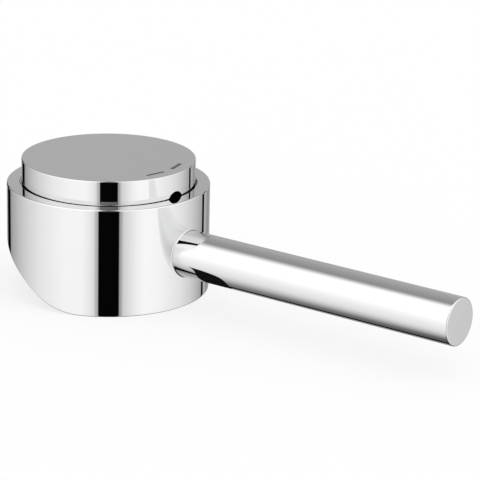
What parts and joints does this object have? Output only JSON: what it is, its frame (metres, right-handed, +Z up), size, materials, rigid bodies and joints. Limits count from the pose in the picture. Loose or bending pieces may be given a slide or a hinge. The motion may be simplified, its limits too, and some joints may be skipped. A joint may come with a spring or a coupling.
{
  "type": "tap lever handle",
  "caption": "Chromed lever handle for a single-lever tap: round housing with a stem socket below, straight round rod, and a lift-off cap over the fixing screw.",
  "frame": {"origin": "on the turning axis, in the plane of the lower rim, where the cartridge's stem enters", "axes": "+X along the lever rod towards its free end, +Z up along the turning axis"},
  "size_m": [0.132, 0.052, 0.0342],
  "materials": {
    "housing_chrome": "polished",
    "bush_plastic": "matte",
    "rod_chrome": "polished",
    "cap_chrome": "polished",
    "hot_enamel": "satin",
    "cold_enamel": "satin",
    "seal_rubber": "matte",
    "screw_steel": "satin"
  },
  "bodies": {
    "root": {"lever_body": "housing_chrome", "stem_bush": "bush_plastic", "lever_rod": "rod_chrome", "cover_cap": "cap_chrome", "hot_mark": "hot_enamel", "cold_mark": "cold_enamel", "cap_seal": "seal_rubber", "fixing_screw": "screw_steel"}
  },
  "joints": []
}
